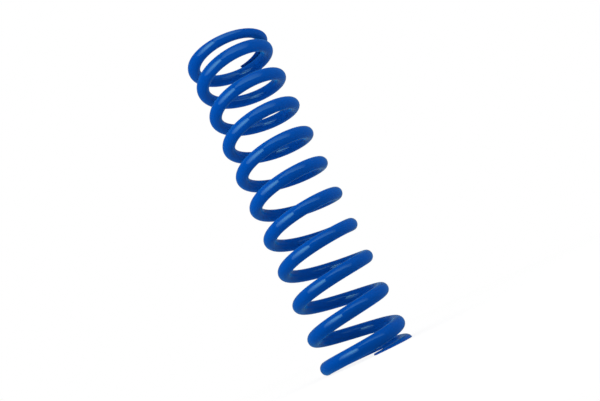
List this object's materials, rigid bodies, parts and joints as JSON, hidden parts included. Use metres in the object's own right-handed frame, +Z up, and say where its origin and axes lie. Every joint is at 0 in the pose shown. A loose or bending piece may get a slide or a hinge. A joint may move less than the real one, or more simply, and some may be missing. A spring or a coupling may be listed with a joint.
{
  "type": "coilover spring",
  "caption": "Right-hand helical compression spring of round wire with closed, flat-ground ends, blue coated, that fits around a damper body.",
  "frame": {"origin": "centre of the lower ground face, on the coil's axis", "axes": "+Z up along the coil's axis to the upper ground face; the lower tip of the wire lies on +X"},
  "size_m": [0.0892, 0.0892, 0.33],
  "materials": {
    "blue_coat": "gloss"
  },
  "bodies": {
    "root": {"coil_spring": "blue_coat"}
  },
  "joints": []
}
